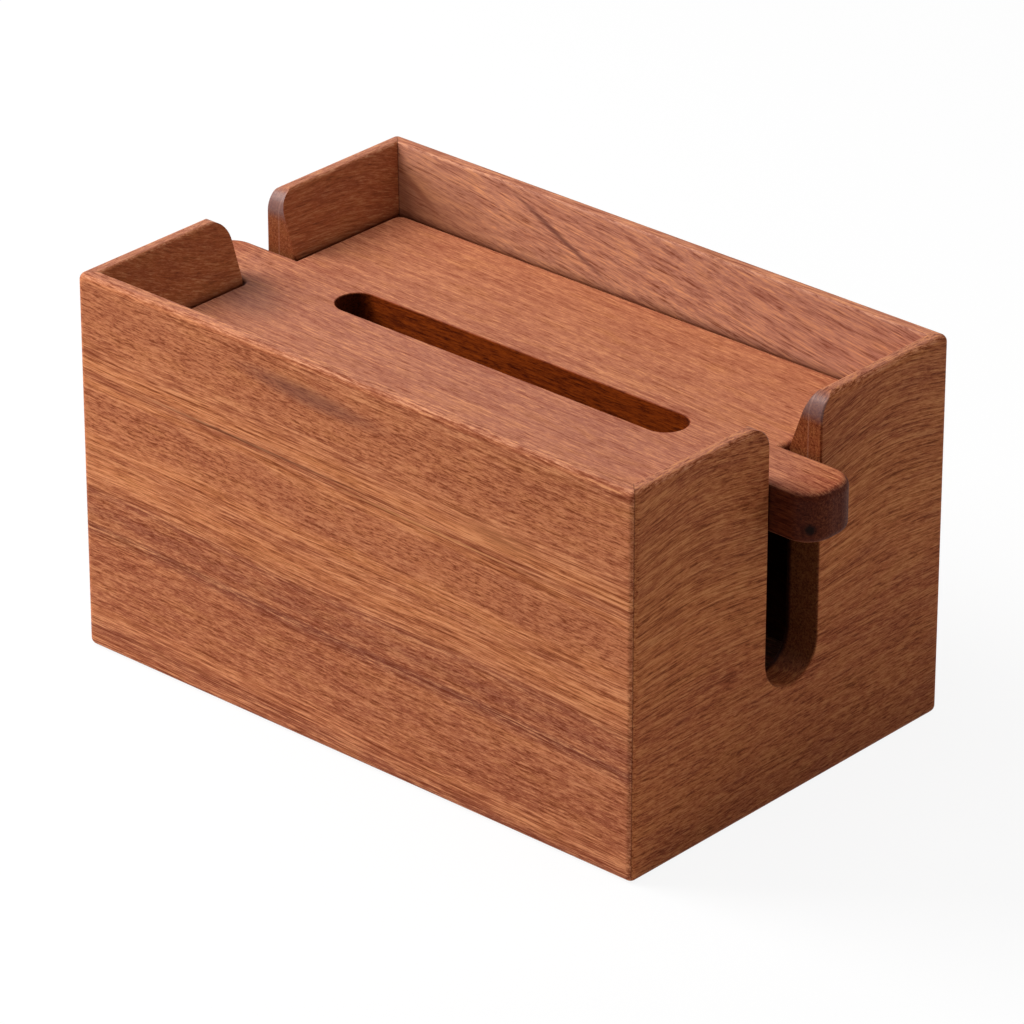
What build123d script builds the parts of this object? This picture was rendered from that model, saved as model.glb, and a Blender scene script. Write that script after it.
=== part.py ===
"""Wooden tissue box holder: a mitred case with a thin bevelled rim, and a loose lid that rides in it.

Millimetres, +Z up. The origin is at the middle of the case's underside, +X runs along the case, and the
front looks towards -Y. The four walls are mitred boards, joined by hidden splines and grooved for the
bottom. The lid is one board. Its two tongues reach out through a tall slot in each end wall, so it sinks
as the tissues are used up and lifts out to refill the case.
"""
import os
from math import copysign

from build123d import *

# Case, outside
case_length = 220.0
case_width = 140.0
case_height = 125.0

# Wall boards: full thickness below, a long bevel inside, and a thin rim left at the top
wall = 12.0
rim = 5.0
bevel_depth = 20.0
rim_arris = 1.5
arris = 2.4

# Tall slot in each end wall, open at the top
end_slot_width = 23.0
end_slot_foot = 37.0
end_slot_mouth = 7.0
end_slot_arris = 0.7

# Bottom board, held in a groove round the walls
bottom_thick = 6.0
bottom_lift = 4.0
groove_depth = 5.0
groove_play = 0.2
bottom_float = 0.5

# Hidden spline across each mitre, stopped short of the groove and of the bevel
spline_width = 9.0
spline_thick = 3.0
spline_inset_share = 0.58
spline_margin = 6.0
glue_gap = 0.1

# Lid board, at its full height in the case
lid_thick = 16.0
lid_drop = 19.0
lid_gap = 1.0
lid_corner = 4.0
lid_edge = 2.5

# Tongues of the lid
tongue_play = 0.5
tongue_reach = 15.5
tongue_corner_share = 0.41
tongue_root = 2.5

# Tissue slot in the lid
tissue_slot_margin = 29.0
tissue_slot_width = 14.0
tissue_slot_edge = 0.5

# How far a board, or a shape that cuts it, runs past the cut
overrun = 10.0

# How far a wall's blank stands proud of its finished faces
blank_waste = 0.02

# Angles
half_turn = 180.0
quarter_turn = half_turn / 2
mitre_angle = quarter_turn / 2

# Heights worked out from the sizes above
bevel_foot = case_height - bevel_depth
groove_head = bottom_lift + bottom_thick + groove_play
spline_foot = groove_head + spline_margin
spline_height = bevel_foot - spline_margin - spline_foot
lid_foot = case_height - lid_drop - lid_thick

# Lid sizes worked out from the case
lid_length = case_length - 2 * (wall + lid_gap)
lid_width = case_width - 2 * (wall + lid_gap)
tongue_span = case_length + 2 * tongue_reach
tongue_width = end_slot_width - 2 * tongue_play
tissue_slot_length = lid_length - 2 * tissue_slot_margin


def spline_place(corner_x, corner_y):
    """Middle of the spline behind one outside corner of the case, turned square to the mitre."""
    inset = spline_inset_share * wall
    middle = (
        corner_x - copysign(inset, corner_x),
        corner_y - copysign(inset, corner_y),
        spline_foot + spline_height / 2,
    )
    return Location(middle, (0, 0, -copysign(mitre_angle, corner_x * corner_y)))


def wall_panel(length, reach, turn, slotted):
    """One wall board, made at the front at its length and its reach from the middle, then turned."""
    section = Plane((0, -reach, 0), x_dir=Axis.Y.direction, z_dir=Axis.X.direction)
    outside = Plane.XZ.offset(reach + blank_waste)
    half_slot = end_slot_width / 2

    with BuildPart() as panel:
        # The blank, a hair over size
        with Locations((0, wall / 2 - reach, case_height / 2)):
            Box(length + 2 * overrun, wall + 2 * blank_waste, case_height + 2 * blank_waste)

        # The slot, with a round foot, a rounded mouth and soft edges
        if slotted:
            with BuildSketch(outside):
                with Locations((0, end_slot_foot + half_slot)):
                    Circle(half_slot)
                    Rectangle(end_slot_width, case_height, align=(Align.CENTER, Align.MIN))
            extrude(amount=-wall - overrun, mode=Mode.SUBTRACT)
            slot_lips = panel.faces().sort_by(Axis.Z)[-2:].edges().filter_by(Axis.Y).sort_by(Axis.X)[1:-1]
            fillet(slot_lips, end_slot_mouth)
            fillet(panel.edges().filter_by(GeomType.CIRCLE), end_slot_arris)

        # The moulding worked along it: groove, bevel and rim
        with BuildSketch(section) as moulding:
            with BuildLine():
                Polyline(
                    (-overrun, -overrun),
                    (wall, -overrun),
                    (wall, bottom_lift),
                    (wall - groove_depth, bottom_lift),
                    (wall - groove_depth, groove_head),
                    (wall, groove_head),
                    (wall, bevel_foot),
                    (rim, case_height),
                    (-overrun, case_height),
                    close=True,
                )
            make_face()
            fillet(moulding.vertices().group_by(Axis.Y)[-1].sort_by(Axis.X)[-1], rim_arris)
        extrude(amount=length, both=True, mode=Mode.INTERSECT)

        # The outside, rounded over as the case is once it is glued up
        with BuildPart(mode=Mode.INTERSECT) as rounded_case:
            Box(length, 2 * reach, case_height + blank_waste, align=(Align.CENTER, Align.CENTER, Align.MIN))
            fillet(rounded_case.edges(), arris)

        # The mitre at each end, and its half of the spline's pocket
        for side in (-1, 1):
            corner = (side * length / 2, -reach, 0)
            split(bisect_by=Plane(corner, z_dir=(side, 1, 0)), keep=Keep.BOTTOM)
            with Locations(spline_place(side * length / 2, -reach)):
                Box(
                    spline_width + 2 * glue_gap,
                    spline_thick + 2 * glue_gap,
                    spline_height + 2 * glue_gap,
                    mode=Mode.SUBTRACT,
                )
    return panel.part.rotate(Axis.Z, turn)


def save(part, name):
    """Name a finished piece and write it to its own file."""
    part.label = name
    export_step(part, f"parts/{name}.step")


os.makedirs("parts", exist_ok=True)

# Walls
save(wall_panel(case_length, case_width / 2, 0, slotted=False), "front_panel")
save(wall_panel(case_length, case_width / 2, half_turn, slotted=False), "back_panel")
save(wall_panel(case_width, case_length / 2, quarter_turn, slotted=True), "right_end_panel")
save(wall_panel(case_width, case_length / 2, -quarter_turn, slotted=True), "left_end_panel")

# Splines
for side_y, row in ((-1, "front"), (1, "back")):
    for side_x, end in ((-1, "left"), (1, "right")):
        with BuildPart() as corner_spline:
            with Locations(spline_place(side_x * case_length / 2, side_y * case_width / 2)):
                Box(spline_width, spline_thick, spline_height)
        save(corner_spline.part, f"corner_spline_{row}_{end}")

# Bottom, resting on the groove's lower side and free to swell at its edges
with BuildPart() as bottom_panel:
    with BuildSketch(Plane.XY.offset(bottom_lift)):
        edge_inset = wall - groove_depth + bottom_float
        Rectangle(case_length - 2 * edge_inset, case_width - 2 * edge_inset)
    extrude(amount=bottom_thick)
save(bottom_panel.part, "bottom_panel")

# Lid, with its tongues in the end slots
with BuildPart() as lid_board:
    with BuildSketch(Plane.XY.offset(lid_foot)) as lid_outline:
        RectangleRounded(lid_length, lid_width, lid_corner)
        RectangleRounded(tongue_span, tongue_width, tongue_corner_share * tongue_width)
        body_points = lid_outline.vertices().filter_by_position(Axis.X, -lid_length / 2, lid_length / 2)
        root_points = body_points.filter_by_position(Axis.Y, -tongue_width / 2, tongue_width / 2)
        fillet(root_points, tongue_root)
    extrude(amount=lid_thick)
    fillet(lid_board.faces().filter_by(Axis.Z).edges(), lid_edge)
    with BuildSketch(Plane.XY.offset(lid_foot)):
        SlotOverall(tissue_slot_length, tissue_slot_width)
    extrude(amount=lid_thick, mode=Mode.SUBTRACT)
    fillet(lid_board.edges(Select.LAST).filter_by(Axis.Z, reverse=True), tissue_slot_edge)
save(lid_board.part, "lid_board")
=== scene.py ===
"""Dresses the wooden tissue box holder: oiled mahogany boards, a pale floor and soft studio light.

Metres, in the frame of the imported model, with the woods' own sizes in millimetres. Every board is the model's
own solid. This script gives each one its own cut of wood, and adds the floor, the lamps and the camera.
"""
from math import cos, radians, sin, tau

import bpy
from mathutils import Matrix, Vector

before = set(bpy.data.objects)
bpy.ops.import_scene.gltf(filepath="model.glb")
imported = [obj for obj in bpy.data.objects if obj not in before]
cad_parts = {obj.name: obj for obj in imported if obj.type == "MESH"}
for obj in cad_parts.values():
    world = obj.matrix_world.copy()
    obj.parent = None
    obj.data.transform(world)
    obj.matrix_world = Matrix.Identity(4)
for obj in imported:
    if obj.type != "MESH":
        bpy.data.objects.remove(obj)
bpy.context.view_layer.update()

mm = 0.001


def reach(node, axis):
    """How far a board of the model reaches along one axis, in millimetres."""
    return max(vertex.co["XYZ".index(axis)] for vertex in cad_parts[node].data.vertices) / mm


# Sizes of the case that the woods line up with
side_face = reach("back_panel", "Y")
end_face = reach("right_end_panel", "X")
case_height = reach("front_panel", "Z")
rim = 5
rim_lip = 0.5
bevel_depth = 20
bevel_foot = case_height - bevel_depth
slot_zone = 27

# Sizes of the lid
lid_top = reach("lid_board", "Z")
lid_thick = 16
lid_foot = lid_top - lid_thick
tissue_slot_half = 61
tissue_slot_radius = 7
tissue_slot_edge = 0.5

# Where a stain begins and where it is full: heights, depths into a wall, distances from the lid's middle
mouth_heights = (case_height - 9, case_height - 6)
bevel_heights = (bevel_foot + 2, bevel_foot - 0.5)
shade_heights = (lid_foot + 6, lid_foot - 6)
inside_depths = (10, 11)
tongue_reach = (92, 108)
handled_reach = (106, 124)

# Half widths of the glue lines: a mitre's, and where the line between two layers begins and is full
mitre_line = 0.4
layer_line = (0.35, 0.1)

# How mahogany is built, along the grain, across it and into the board. Real pores and streaks are too fine
# to show, so they are drawn wider.
wander_size = (120, 45, 45)
wander_reach = (0, 5, 3)
streak_size = (26, 0.8, 0.8)
pore_size = (3.8, 0.56, 0.56)
blotch_size = (16, 4, 4)
pore_depth = 0.1

# Heights where the grain of an end board begins to arch, and arches fully
arch_heights = (40, 105)

# Ways to lay a board's grain: turns that stand its pattern up and swing it round
along_case = (90, 0, 0)
across_case = (90, 0, 90)
flat_board = (0, 0, 0)

# Sockets of a Mix node by number, because their names repeat
factor, value_a, value_b, vector_a, vector_b, colour_a, colour_b = 0, 2, 3, 4, 5, 6, 7
mixed_vector, mixed_colour = 1, 2


def linear(colour):
    """Linear RGBA of an sRGB hex colour."""
    parts = [int(colour[i : i + 2], 16) / 255 for i in (1, 3, 5)]
    return [p / 12.92 if p <= 0.04045 else ((p + 0.055) / 1.055) ** 2.4 for p in parts] + [1]


def add(tree, kind, inputs=None, **settings):
    """Add one node. Settings are its own properties, and inputs are values to set or outputs to link."""
    node = tree.nodes.new(kind)
    for name, value in settings.items():
        setattr(node, name, value)
    for name, value in (inputs or {}).items():
        if isinstance(value, bpy.types.Node):
            value = value.outputs[0]
        if isinstance(value, bpy.types.NodeSocket):
            tree.links.new(value, node.inputs[name])
        else:
            node.inputs[name].default_value = value
    return node


def new_material(name):
    """A material with no nodes yet, and its node tree."""
    material = bpy.data.materials.new(name)
    material.use_nodes = True
    material.node_tree.nodes.clear()
    return material, material.node_tree


def wall_stains_and_light(tree, board, facing, fibre, face):
    """What colours a wall besides its grain: tints to lay under the grain, tints to lay over it, and wax.

    The flat rim is paler, where the oil has worn, and its rounded edges get pale nicks and a painted highlight.
    The end grain in the slot is darker, and darker again under the lid as painted shade, with a painted grey
    sheen on its waxed mouth and a pale line where its two layers are glued. The mitres show a dark glue line,
    and the inside is darkened with painted shade.
    """
    at = add(tree, "ShaderNodeSeparateXYZ", {0: board})
    turn = add(tree, "ShaderNodeSeparateXYZ", {0: facing})
    along, depth = [
        add(tree, "ShaderNodeMath", {0: at.outputs[axis]}, operation="ABSOLUTE") for axis in "XZ"]

    # Mitres: places as far in from this wall's face as from the next wall's
    lead = end_face + side_face - 2 * face
    gap = add(tree, "ShaderNodeMath", {0: along, 1: depth}, operation="SUBTRACT")
    miss = add(tree, "ShaderNodeMath", {0: gap, 1: lead}, operation="SUBTRACT")
    off_mitre = add(tree, "ShaderNodeMath", {0: miss}, operation="ABSOLUTE")
    mitre = add(tree, "ShaderNodeMapRange", {
        "Value": off_mitre, "From Min": mitre_line, "From Max": 0, "To Max": 0.6})

    # End grain in the slot, darker again under the lid as painted shade, and the glue line between its layers
    sideways = add(tree, "ShaderNodeMath", {0: turn.outputs["X"]}, operation="ABSOLUTE")
    by_slot = add(tree, "ShaderNodeMath", {0: along, 1: slot_zone}, operation="LESS_THAN")
    end_on = add(tree, "ShaderNodeMath", {0: sideways, 1: by_slot}, operation="MULTIPLY")
    end_grain = add(tree, "ShaderNodeMapRange", {
        "Value": end_on, "From Min": 0.35, "From Max": 0.8, "To Max": 0.6})
    shade = add(tree, "ShaderNodeMapRange", {
        "Value": at.outputs["Y"], "From Min": shade_heights[0], "From Max": shade_heights[1]})
    painted_slot_shade = add(tree, "ShaderNodeMath", {0: end_grain, 1: shade}, operation="MULTIPLY")
    layer = add(tree, "ShaderNodeMath", {0: depth, 1: face - rim}, operation="SUBTRACT")
    off_layer = add(tree, "ShaderNodeMath", {0: layer}, operation="ABSOLUTE")
    line = add(tree, "ShaderNodeMapRange", {
        "Value": off_layer, "From Min": layer_line[0], "From Max": layer_line[1], "To Max": 0.3})
    lit = add(tree, "ShaderNodeMath", {0: end_grain, 1: shade}, operation="SUBTRACT", use_clamp=True)
    seam = add(tree, "ShaderNodeMath", {0: line, 1: lit}, operation="MULTIPLY")

    # Rim: worn on its flat top, with pale nicks and a painted highlight on its rounded edges, and at the slot's
    # mouth a wax coat with a painted grey sheen
    at_mouth = add(tree, "ShaderNodeMapRange", {
        "Value": at.outputs["Y"], "From Min": mouth_heights[0], "From Max": mouth_heights[1]})
    upward = add(tree, "ShaderNodeMapRange", {
        "Value": turn.outputs["Y"], "From Min": 0.85, "From Max": 0.95})
    rising = add(tree, "ShaderNodeMapRange", {
        "Value": turn.outputs["Y"], "From Min": 0.5, "From Max": 0.7})
    rounded = add(tree, "ShaderNodeMath", {0: rising, 1: upward}, operation="SUBTRACT", use_clamp=True)
    end_sheen = add(tree, "ShaderNodeMapRange", {
        "Value": end_on, "From Min": 0.25, "From Max": 0.6, "To Max": 0.6})
    worn, edge, mouth_wax_and_sheen = [
        add(tree, "ShaderNodeMath", {0: part, 1: at_mouth}, operation="MULTIPLY")
        for part in (upward, rounded, end_sheen)]
    plain_edge = add(tree, "ShaderNodeMath", {0: edge, 1: end_sheen}, operation="SUBTRACT", use_clamp=True)
    nicks = add(tree, "ShaderNodeMapRange", {
        "Value": fibre, "From Min": 0.46, "From Max": 0.58, "To Max": 0.3})
    nicks_and_highlight = add(tree, "ShaderNodeMath", {0: plain_edge, 1: nicks}, operation="MULTIPLY")
    wax = add(tree, "ShaderNodeMath", {0: mouth_wax_and_sheen, 1: 0.3}, operation="MULTIPLY")

    # Inside: painted shade below the bevel, and more painted shade where the lid shades it
    inside = add(tree, "ShaderNodeMapRange", {
        "Value": depth, "From Min": face - inside_depths[0], "From Max": face - inside_depths[1],
        "To Max": 0.75})
    below_bevel = add(tree, "ShaderNodeMapRange", {
        "Value": at.outputs["Y"], "From Min": bevel_heights[0], "From Max": bevel_heights[1]})
    painted_shade_below_bevel, shaded = [
        add(tree, "ShaderNodeMath", {0: part, 1: inside}, operation="MULTIPLY")
        for part in (below_bevel, shade)]

    under = [(worn, "#AE7058", "MIX")]
    over = [
        (end_grain, "#A8948C", "MULTIPLY"), (painted_slot_shade, "#84827A", "MULTIPLY"), (mouth_wax_and_sheen, "#745F60", "MIX"),
        (seam, "#C89A86", "MIX"), (nicks_and_highlight, "#DCA284", "MIX"), (mitre, "#6E5A50", "MULTIPLY"),
        (painted_shade_below_bevel, "#8C5030", "MULTIPLY"), (shaded, "#584034", "MULTIPLY")]
    return under, over, wax


def lid_stains_and_shade(tree, board, facing, fibre, _face):
    """What colours the lid besides its grain: tints to lay under the grain, tints to lay over it, and wax.

    The rounded edges and sides are darker, partly from oil and partly as painted shade, the end grain a little
    less. Hands have reddened the tips of the tongues and left grime in their pores. The tissue slot's walls are
    a deep orange brown as painted shade, with dark specks, and darkest at the slot's round ends, which are end
    grain darkened further as painted shadow.
    """
    at = add(tree, "ShaderNodeSeparateXYZ", {0: board})
    turn = add(tree, "ShaderNodeSeparateXYZ", {0: facing})
    end_on, flat_on = [
        add(tree, "ShaderNodeMath", {0: turn.outputs[axis]}, operation="ABSOLUTE") for axis in "XZ"]
    edge = add(tree, "ShaderNodeMapRange", {
        "Value": flat_on, "From Min": 0.95, "From Max": 0.6, "To Max": 0.95})
    end_grain = add(tree, "ShaderNodeMapRange", {
        "Value": end_on, "From Min": 0.5, "From Max": 0.95, "To Max": 0.55})
    grime = add(tree, "ShaderNodeMapRange", {
        "Value": fibre, "From Min": 0.5, "From Max": 0.4, "To Max": 0.45})

    # Tongues
    beside = add(tree, "ShaderNodeMath", {0: at.outputs["X"]}, operation="ABSOLUTE")
    tongue, handled = [
        add(tree, "ShaderNodeMapRange", {"Value": beside, "From Min": start, "From Max": end})
        for start, end in (tongue_reach, handled_reach)]
    grimy = add(tree, "ShaderNodeMath", {0: tongue, 1: grime}, operation="MULTIPLY")

    # Tissue slot, told by the distance from its middle line. Its walls are tinted a deep orange brown as
    # painted shade, and their round ends, which are end grain, are darkened further as painted shadow
    past = add(tree, "ShaderNodeMath", {0: beside, 1: tissue_slot_half}, operation="SUBTRACT")
    beyond = add(tree, "ShaderNodeMath", {0: past, 1: 0}, operation="MAXIMUM")
    across = add(tree, "ShaderNodeCombineXYZ", {"X": beyond, "Y": at.outputs["Y"]})
    off = add(tree, "ShaderNodeVectorMath", {0: across}, operation="LENGTH")
    slot = add(tree, "ShaderNodeMapRange", {
        "Value": off.outputs["Value"], "From Min": tissue_slot_radius + tissue_slot_edge,
        "From Max": tissue_slot_radius})
    rounded = add(tree, "ShaderNodeMapRange", {
        "Value": end_on, "From Min": 0.1, "From Max": 0.7, "To Max": 0.85})
    slot_specks, slot_end = [
        add(tree, "ShaderNodeMath", {0: part, 1: slot}, operation="MULTIPLY") for part in (grime, rounded)]
    # Rounded edges and long sides outside the slot, darkened partly for oil and partly as painted shade, as
    # where the end wall shades the tongue's side
    edge_oil_and_shade = add(tree, "ShaderNodeMath", {0: edge, 1: slot}, operation="SUBTRACT", use_clamp=True)

    under = [(handled, "#9C543A", "MIX")]
    over = [
        (grimy, "#9A5A40", "MULTIPLY"), (edge_oil_and_shade, "#6C482E", "MULTIPLY"), (end_grain, "#CCB8A8", "DIVIDE"),
        (slot, "#CA8A40", "MULTIPLY"), (slot_specks, "#5C4428", "MULTIPLY"),
        (slot_end, "#5A4434", "MULTIPLY")]
    wax = 0.02
    return under, over, wax


def marks_on(tree, board, marks):
    """Soft oval marks on a board, painted shadows among them: each one's middle, turn, half sizes, colour and
    strength.
    """
    tints = []
    for middle, turned, size, colour, strength in marks:
        near = add(tree, "ShaderNodeMapping", {
            "Vector": board, "Location": middle, "Rotation": (0, 0, radians(turned)), "Scale": size},
            vector_type="TEXTURE")
        off = add(tree, "ShaderNodeVectorMath", {0: near}, operation="LENGTH")
        mark = add(tree, "ShaderNodeMapRange", {
            "Value": off.outputs["Value"], "From Min": 1, "From Max": 0.3, "To Max": strength},
            interpolation_type="SMOOTHSTEP")
        tints.append((mark, colour, "MIX"))
    return tints


def grain_place(tree, board, face, tilt, inner_tilt, cut, arch):
    """Where a place lies across the ribbons of its board, and where in the log that the board was cut from.

    The grain slants, with another slant inside the rim. It wanders a little, and it arches where the board
    was cut near the heart: an arch has its apex, the length of its wave, and its rise.
    """
    run = add(tree, "ShaderNodeMapping", {
        "Vector": board, "Rotation": (0, 0, radians(tilt))}, vector_type="TEXTURE")
    if inner_tilt:
        at = add(tree, "ShaderNodeSeparateXYZ", {0: board})
        depth = add(tree, "ShaderNodeMath", {0: at.outputs["Z"]}, operation="ABSOLUTE")
        within = add(tree, "ShaderNodeMath", {0: depth, 1: face - rim + rim_lip}, operation="LESS_THAN")
        inner_run = add(tree, "ShaderNodeMapping", {
            "Vector": board, "Rotation": (0, 0, radians(inner_tilt))}, vector_type="TEXTURE")
        run = add(tree, "ShaderNodeMix", {
            factor: within, vector_a: run, vector_b: inner_run}, data_type="VECTOR").outputs[mixed_vector]

    log = add(tree, "ShaderNodeVectorMath", {0: run, 1: cut}, operation="ADD")
    drift_place = add(tree, "ShaderNodeMapping", {"Vector": log, "Scale": wander_size}, vector_type="TEXTURE")
    drift = add(tree, "ShaderNodeTexNoise", {"Vector": drift_place, "Scale": 1, "Detail": 1})
    apart = add(tree, "ShaderNodeVectorMath", {
        0: drift.outputs["Color"], 1: (0.5, 0.5, 0.5)}, operation="SUBTRACT")
    bent = add(tree, "ShaderNodeVectorMath", {0: apart, 1: wander_reach, 2: run}, operation="MULTIPLY_ADD")
    if arch:
        apex, length, rise = arch
        at = add(tree, "ShaderNodeSeparateXYZ", {0: run})
        angle = add(tree, "ShaderNodeMath", {
            0: at.outputs["X"], 1: tau / length, 2: -apex * tau / length}, operation="MULTIPLY_ADD")
        wave = add(tree, "ShaderNodeMath", {0: angle}, operation="COSINE")
        lift = add(tree, "ShaderNodeMapRange", {
            "Value": at.outputs["Y"], "From Min": arch_heights[0], "From Max": arch_heights[1],
            "To Max": -rise})
        bow = add(tree, "ShaderNodeMath", {0: wave, 1: lift}, operation="MULTIPLY")
        shift = add(tree, "ShaderNodeCombineXYZ", {"Y": bow})
        bent = add(tree, "ShaderNodeVectorMath", {0: bent, 1: shift}, operation="ADD")
    grain = add(tree, "ShaderNodeVectorMath", {0: bent, 1: cut}, operation="ADD")
    return bent, grain


def ribbon_tones(tree, bent, ribbons):
    """Ribbons up the board: a stop's colour is the wood's, its alpha how far the pores are cut across."""
    lowest, highest = ribbons[0][0], ribbons[-1][0]
    at = add(tree, "ShaderNodeSeparateXYZ", {0: bent})
    share = add(tree, "ShaderNodeMapRange", {
        "Value": at.outputs["Y"], "From Min": lowest, "From Max": highest})
    tones = add(tree, "ShaderNodeValToRGB", {"Fac": share})
    stops = tones.color_ramp.elements
    for height, colour, mottle in ribbons:
        ends = {lowest: stops[0], highest: stops[-1]}
        stop = ends.get(height) or stops.new((height - lowest) / (highest - lowest))
        stop.color = linear(colour)[:3] + [mottle]
    return tones


def mahogany(
        name, lay, tilt, cut, ribbons, strength, stains_and_light=None, face=0, inner_tilt=0, arch=None, marks=(),
        pale_grain="#E29A6A", dark_grain="#6A290C"):
    """Planed and oiled mahogany. Its grain interlocks, so ribbons of long straight streaks take turns with
    ribbons where the pores are cut across as short dark dashes. The oil leaves a low satin sheen."""
    material, tree = new_material(name)
    place = add(tree, "ShaderNodeTexCoord")
    turns = [radians(angle) for angle in lay]
    board = add(tree, "ShaderNodeMapping", {
        "Vector": place.outputs["Object"], "Rotation": turns, "Scale": (mm, mm, mm)}, vector_type="TEXTURE")
    facing = add(tree, "ShaderNodeMapping", {
        "Vector": place.outputs["Normal"], "Rotation": turns}, vector_type="TEXTURE")
    bent, grain = grain_place(tree, board, face, tilt, inner_tilt, cut, arch)
    tones = ribbon_tones(tree, bent, ribbons)
    mottle = tones.outputs["Alpha"]

    # Long fine streaks, short pores, and wide soft blotches
    streaks, pores, blotches = [
        add(tree, "ShaderNodeTexNoise", {
            "Vector": add(tree, "ShaderNodeMapping", {"Vector": grain, "Scale": size}, vector_type="TEXTURE"),
            "Scale": 1, "Detail": detail, "Roughness": roughness, "Distortion": distortion})
        for size, detail, roughness, distortion in (
            (streak_size, 3, 0.9, 0.3), (pore_size, 3, 0.8, 0.25), (blotch_size, 2, 0.5, 0))]
    fibre = add(tree, "ShaderNodeMix", {factor: mottle, value_a: streaks, value_b: pores}, data_type="FLOAT")

    # Their colours. The pale grain fades where the pores are cut across.
    spread = 0.14 / strength
    plain = add(tree, "ShaderNodeMapRange", {
        "Value": mottle, "From Min": 0.4, "From Max": 0.8, "To Min": 0.75, "To Max": 0.35})
    plum = add(tree, "ShaderNodeMapRange", {
        "Value": blotches, "From Min": 0.5, "From Max": 0.75, "To Max": 0.4})
    gold = add(tree, "ShaderNodeMapRange", {
        "Value": blotches, "From Min": 0.5, "From Max": 0.25, "To Max": 0.25})
    light = add(tree, "ShaderNodeMapRange", {
        "Value": fibre, "From Min": 0.5, "From Max": 0.5 + spread, "To Max": plain})
    dark = add(tree, "ShaderNodeMapRange", {
        "Value": fibre, "From Min": 0.5, "From Max": 0.5 - spread, "To Max": 0.8})
    tints = [
        (plum, "#843F2C", "MIX"), (gold, "#B4723C", "MIX"),
        (light, pale_grain, "MIX"), (dark, dark_grain, "MIX")]
    under, over, wax = stains_and_light(tree, board, facing, fibre, face) if stains_and_light else ((), (), 0)
    colour = tones.outputs["Color"]
    for amount, tint, blend in (*under, *tints, *marks_on(tree, board, marks), *over):
        mixed = add(tree, "ShaderNodeMix", {
            factor: amount, colour_a: colour, colour_b: linear(tint)}, data_type="RGBA", blend_type=blend)
        colour = mixed.outputs[mixed_colour]

    # Open pores catch a little shade and shine less than the wood between them
    relief = add(tree, "ShaderNodeBump", {"Strength": 0.25, "Distance": pore_depth * mm, "Height": fibre})
    rough = add(tree, "ShaderNodeMapRange", {
        "Value": fibre, "From Min": 0.35, "From Max": 0.65, "To Min": 0.62, "To Max": 0.5})
    wood = add(tree, "ShaderNodeBsdfPrincipled", {
        "Base Color": colour, "Roughness": rough, "IOR": 1.48, "Specular IOR Level": 0.05,
        "Coat Weight": wax, "Coat Roughness": 0.3, "Normal": relief})
    add(tree, "ShaderNodeOutputMaterial", {"Surface": wood})
    return material


def dress(node, material):
    """Give a board of the model its wood."""
    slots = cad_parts[node].data.materials
    slots.clear()
    slots.append(material)


# Tones of the wood, from the darkest ribbon to the palest
umber, brown, rust, copper, amber = "#824634", "#98553C", "#A96141", "#B46A46", "#C27549"

# Ribbons of each board: height or place across it, tone, and how far the pores are cut across
front_ribbons = (
    (0, rust, 0.25), (4, brown, 0.25), (7, rust, 0.25), (10, copper, 0.2), (13, rust, 0.55), (24, rust, 0.65),
    (31, rust, 0.65), (34, copper, 0.65), (36.5, brown, 0.4), (38.5, umber, 0.35), (40.5, rust, 0.5),
    (44, brown, 0.8), (48, rust, 0.65), (50.5, brown, 0.35), (53, copper, 0.3), (59, amber, 0.25),
    (64, copper, 0.35), (68, amber, 0.25), (72, copper, 0.65), (80, copper, 0.85), (84, copper, 0.5),
    (86.5, amber, 0.2), (88.5, rust, 0.2), (90, copper, 0.2), (93, amber, 0.2), (98, copper, 0.25),
    (103, copper, 0.65), (113, copper, 0.85), (117, copper, 0.65), (121, copper, 0.5), (125, rust, 0.4),
)
back_ribbons = (
    (0, rust, 0.5), (30, copper, 0.8), (52, brown, 0.35), (75, copper, 0.6),
    (98, "#B0765C", 0.2), (112, "#B67A62", 0.1), (125, "#B47862", 0.2),
)
end_ribbons = (
    (0, "#A45A36", 0.65), (22, "#AE6139", 0.65), (48, "#AE5F3A", 0.5), (68, "#BB6B3F", 0.4),
    (84, "#B3663B", 0.4), (98, "#AC6039", 0.45), (125, "#AC603B", 0.55),
)
lid_ribbons = (
    (-57, "#A86A50", 0.55), (-30, "#A66A54", 0.45), (-12, "#A26652", 0.5), (14, "#A8684E", 0.45),
    (30, "#AA684C", 0.55), (57, "#AC684A", 0.5),
)
# The sawn wood's ribbons are near black: painted shade for the inside of the box
shade_dark_sawn_ribbons = ((-70, "#3A221A", 0.8), (-10, "#40281E", 0.6), (70, "#3C241C", 0.8))

# How deep marks go: the front's right through the board, the back's from its inside, short of its outer face
through = 200
back_inside, back_depth = -57, 12.5

# Marks of the front: a smudge under the rim, a dark streak, a pale streak and a pale patch
front_marks = (
    ((-16, 114.5, 0), -3, (38, 5, through), "#6A4038", 0.6),
    ((-40, 91.5, 0), -1.5, (70, 0.7, through), "#5C3322", 0.65),
    ((35, 87.5, 0), -2, (60, 0.6, through), "#D8955E", 0.6),
    ((58, 93.5, 0), -2, (22, 6, through), "#D08A5A", 0.35),
)

# Marks of the back, inside: two slanting dark streaks, and a painted shadow at the left end, where the left
# wall shades the bevel
back_marks = (
    ((-40, 117, back_inside), -19.5, (36, 1.2, back_depth), "#5E322C", 0.8),
    ((-93, 113.5, back_inside), -24, (14, 1.6, back_depth), "#7A3E2C", 0.6),
    ((-104, 108, back_inside), 0, (62, 20, back_depth), "#74402A", 0.5),
)

# Marks of the lid: a dark spot on the right tongue's tip, and a painted shadow near the left end, where the
# left wall shades the lid
lid_marks = (
    ((122.7, -8.5, 94.8), 0, (2.6, 2.6, 2.6), "#1C100C", 0.9),
    ((-90, -18, lid_top), -20, (24, 13, 8), "#6A4840", 0.4),
)

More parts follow.
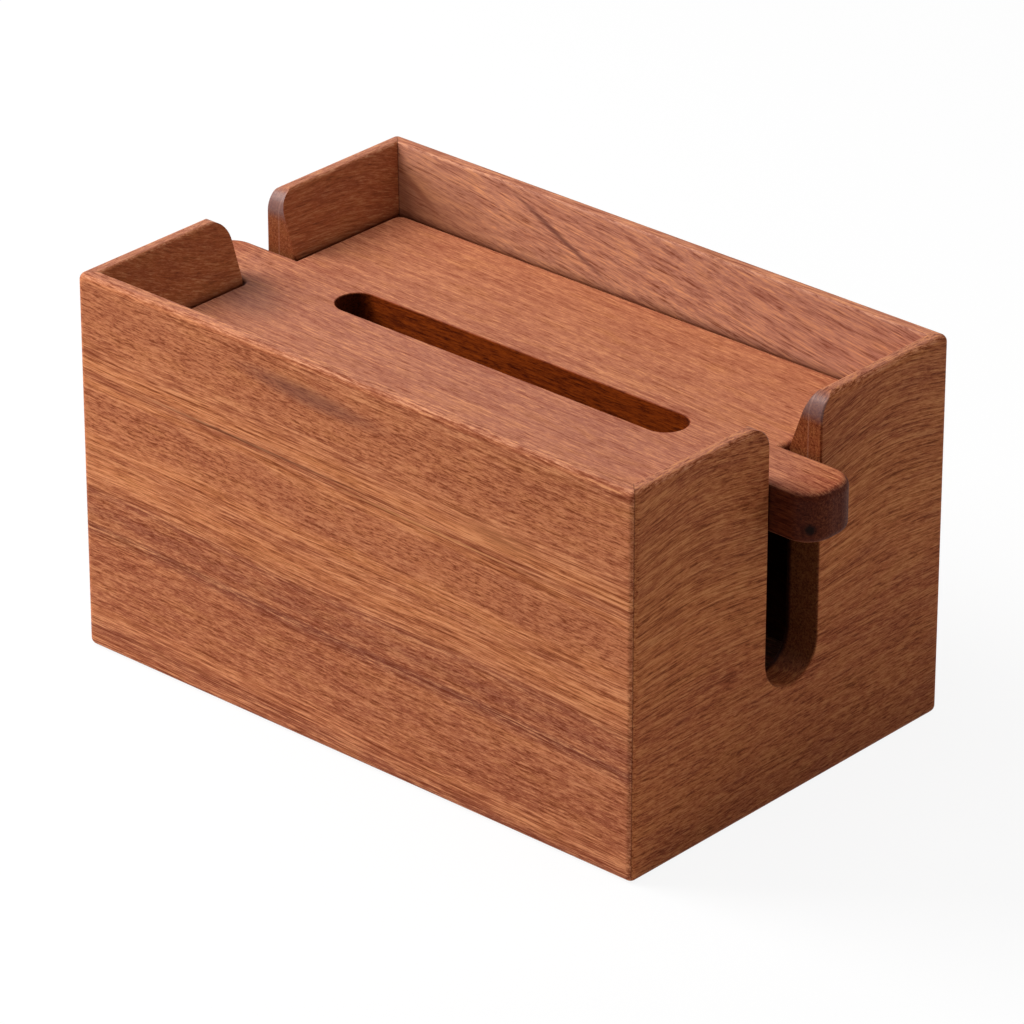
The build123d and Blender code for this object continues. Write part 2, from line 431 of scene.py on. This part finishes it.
# Walls
dress("front_panel", mahogany(
    "mahogany_planed_oiled_front", along_case, tilt=-1.7, inner_tilt=-10, cut=(300, 0, 0),
    ribbons=front_ribbons, strength=1.4, stains_and_light=wall_stains_and_light, face=side_face, marks=front_marks))
dress("back_panel", mahogany(
    "mahogany_planed_oiled_back", along_case, tilt=1.2, inner_tilt=-8, cut=(900, 40, 0),
    ribbons=back_ribbons, strength=0.9, stains_and_light=wall_stains_and_light, face=side_face, marks=back_marks))
dress("right_end_panel", mahogany(
    "mahogany_planed_oiled_right", across_case, tilt=0, inner_tilt=6, cut=(1500, 0, 0),
    ribbons=end_ribbons, strength=1.4, stains_and_light=wall_stains_and_light, face=end_face, arch=(-42, 84, 3),
    pale_grain="#D69058", dark_grain="#5C240A"))
dress("left_end_panel", mahogany(
    "mahogany_planed_oiled_left", across_case, tilt=1, inner_tilt=-14, cut=(2100, 0, 0),
    ribbons=end_ribbons, strength=1.0, stains_and_light=wall_stains_and_light, face=end_face, arch=(20, 130, 4),
    pale_grain="#D69A6C", dark_grain="#6C3C26"))

# Lid
dress("lid_board", mahogany(
    "mahogany_sanded_oiled_lid", flat_board, tilt=-3, cut=(2700, 0, 0),
    ribbons=lid_ribbons, strength=0.95, stains_and_light=lid_stains_and_shade, marks=lid_marks))

# Bottom and splines, left as sawn and dull, with their wood painted near black as shade for the inside of the
# box
shade_dark_sawn_wood = mahogany(
    "mahogany_sawn_shade_dark", flat_board, tilt=2, cut=(3300, 0, 0), ribbons=shade_dark_sawn_ribbons, strength=0.6)
dress("bottom_panel", shade_dark_sawn_wood)
for corner in ("front_left", "front_right", "back_left", "back_right"):
    dress(f"corner_spline_{corner}", shade_dark_sawn_wood)

# The studio, in metres, degrees and watts
floor_width = 8
paper_glow = 0.9
room_glow = 0.03
lamp_distance = 1.6
lamp_aim = Vector((0, 0, 0.06))
camera_azimuth = 41.972
camera_elevation = 26.826
camera_distance = 1.8896
camera_aim = Vector((0.0013, 0, 0.0564))


def seen_by_camera(tree):
    """1 for what the camera sees, also in a mirror or through glass, and 0 for light that falls on things."""
    ray = add(tree, "ShaderNodeLightPath")
    indirect = add(tree, "ShaderNodeMath", {
        0: ray.outputs["Is Glossy Ray"], 1: ray.outputs["Is Transmission Ray"]}, operation="MAXIMUM")
    return add(tree, "ShaderNodeMath", {0: ray.outputs["Is Camera Ray"], 1: indirect}, operation="MAXIMUM")


def around(azimuth, elevation, distance, middle):
    """A place round the box, and the turn that faces its middle. Azimuth 0 is in front, 90 to the right."""
    a, e = radians(azimuth), radians(elevation)
    away = Vector((sin(a) * cos(e), -cos(a) * cos(e), sin(e)))
    return middle + away * distance, away.to_track_quat("Z", "Y").to_euler()


def softbox(name, azimuth, elevation, width, watts):
    """A square soft lamp that faces the box."""
    place, turn = around(azimuth, elevation, lamp_distance, lamp_aim)
    bpy.ops.object.light_add(type="AREA", location=place, rotation=turn)
    lamp = bpy.context.object
    lamp.name = name
    lamp.data.size = width
    lamp.data.energy = watts


# Floor: matt white paper, which the camera sees as nearly all white, with the shadow left on it
paper, tree = new_material("seamless_paper_white")
glow = add(tree, "ShaderNodeMath", {0: seen_by_camera(tree), 1: paper_glow}, operation="MULTIPLY")
matt = add(tree, "ShaderNodeBsdfDiffuse", {"Color": linear("#F2F2F2")})
white = add(tree, "ShaderNodeEmission", {"Color": linear("#FFFFFF"), "Strength": 1})
both = add(tree, "ShaderNodeMixShader", {0: glow, 1: matt, 2: white})
add(tree, "ShaderNodeOutputMaterial", {"Surface": both})
bpy.ops.object.select_all(action="DESELECT")
bpy.ops.mesh.primitive_plane_add(size=floor_width)
floor = bpy.context.object
floor.name = "floor"
floor.data.materials.append(paper)

# Room: white to the eye and to reflections, dim as a light
world = bpy.data.worlds.new("studio")
bpy.context.scene.world = world
world.use_nodes = True
tree = world.node_tree
tree.nodes.clear()
level = add(tree, "ShaderNodeMapRange", {"Value": seen_by_camera(tree), "To Min": room_glow, "To Max": 1})
sky = add(tree, "ShaderNodeBackground", {"Color": linear("#FFFFFF"), "Strength": level})
add(tree, "ShaderNodeOutputWorld", {"Surface": sky})

# Lamps
softbox("key_lamp", azimuth=-65, elevation=38, width=0.9, watts=33.4)
softbox("top_lamp", azimuth=-20, elevation=80, width=1.2, watts=10.4)
softbox("back_lamp", azimuth=135, elevation=30, width=1.2, watts=4.7)

# Camera: the photograph's viewing angle
place, turn = around(camera_azimuth, camera_elevation, camera_distance, camera_aim)
bpy.ops.object.camera_add(location=place, rotation=turn)
camera = bpy.context.object
camera.data.sensor_width = 36
camera.data.lens = 222.3
bpy.context.scene.camera = camera
bpy.context.scene.view_settings.view_transform = "Standard"
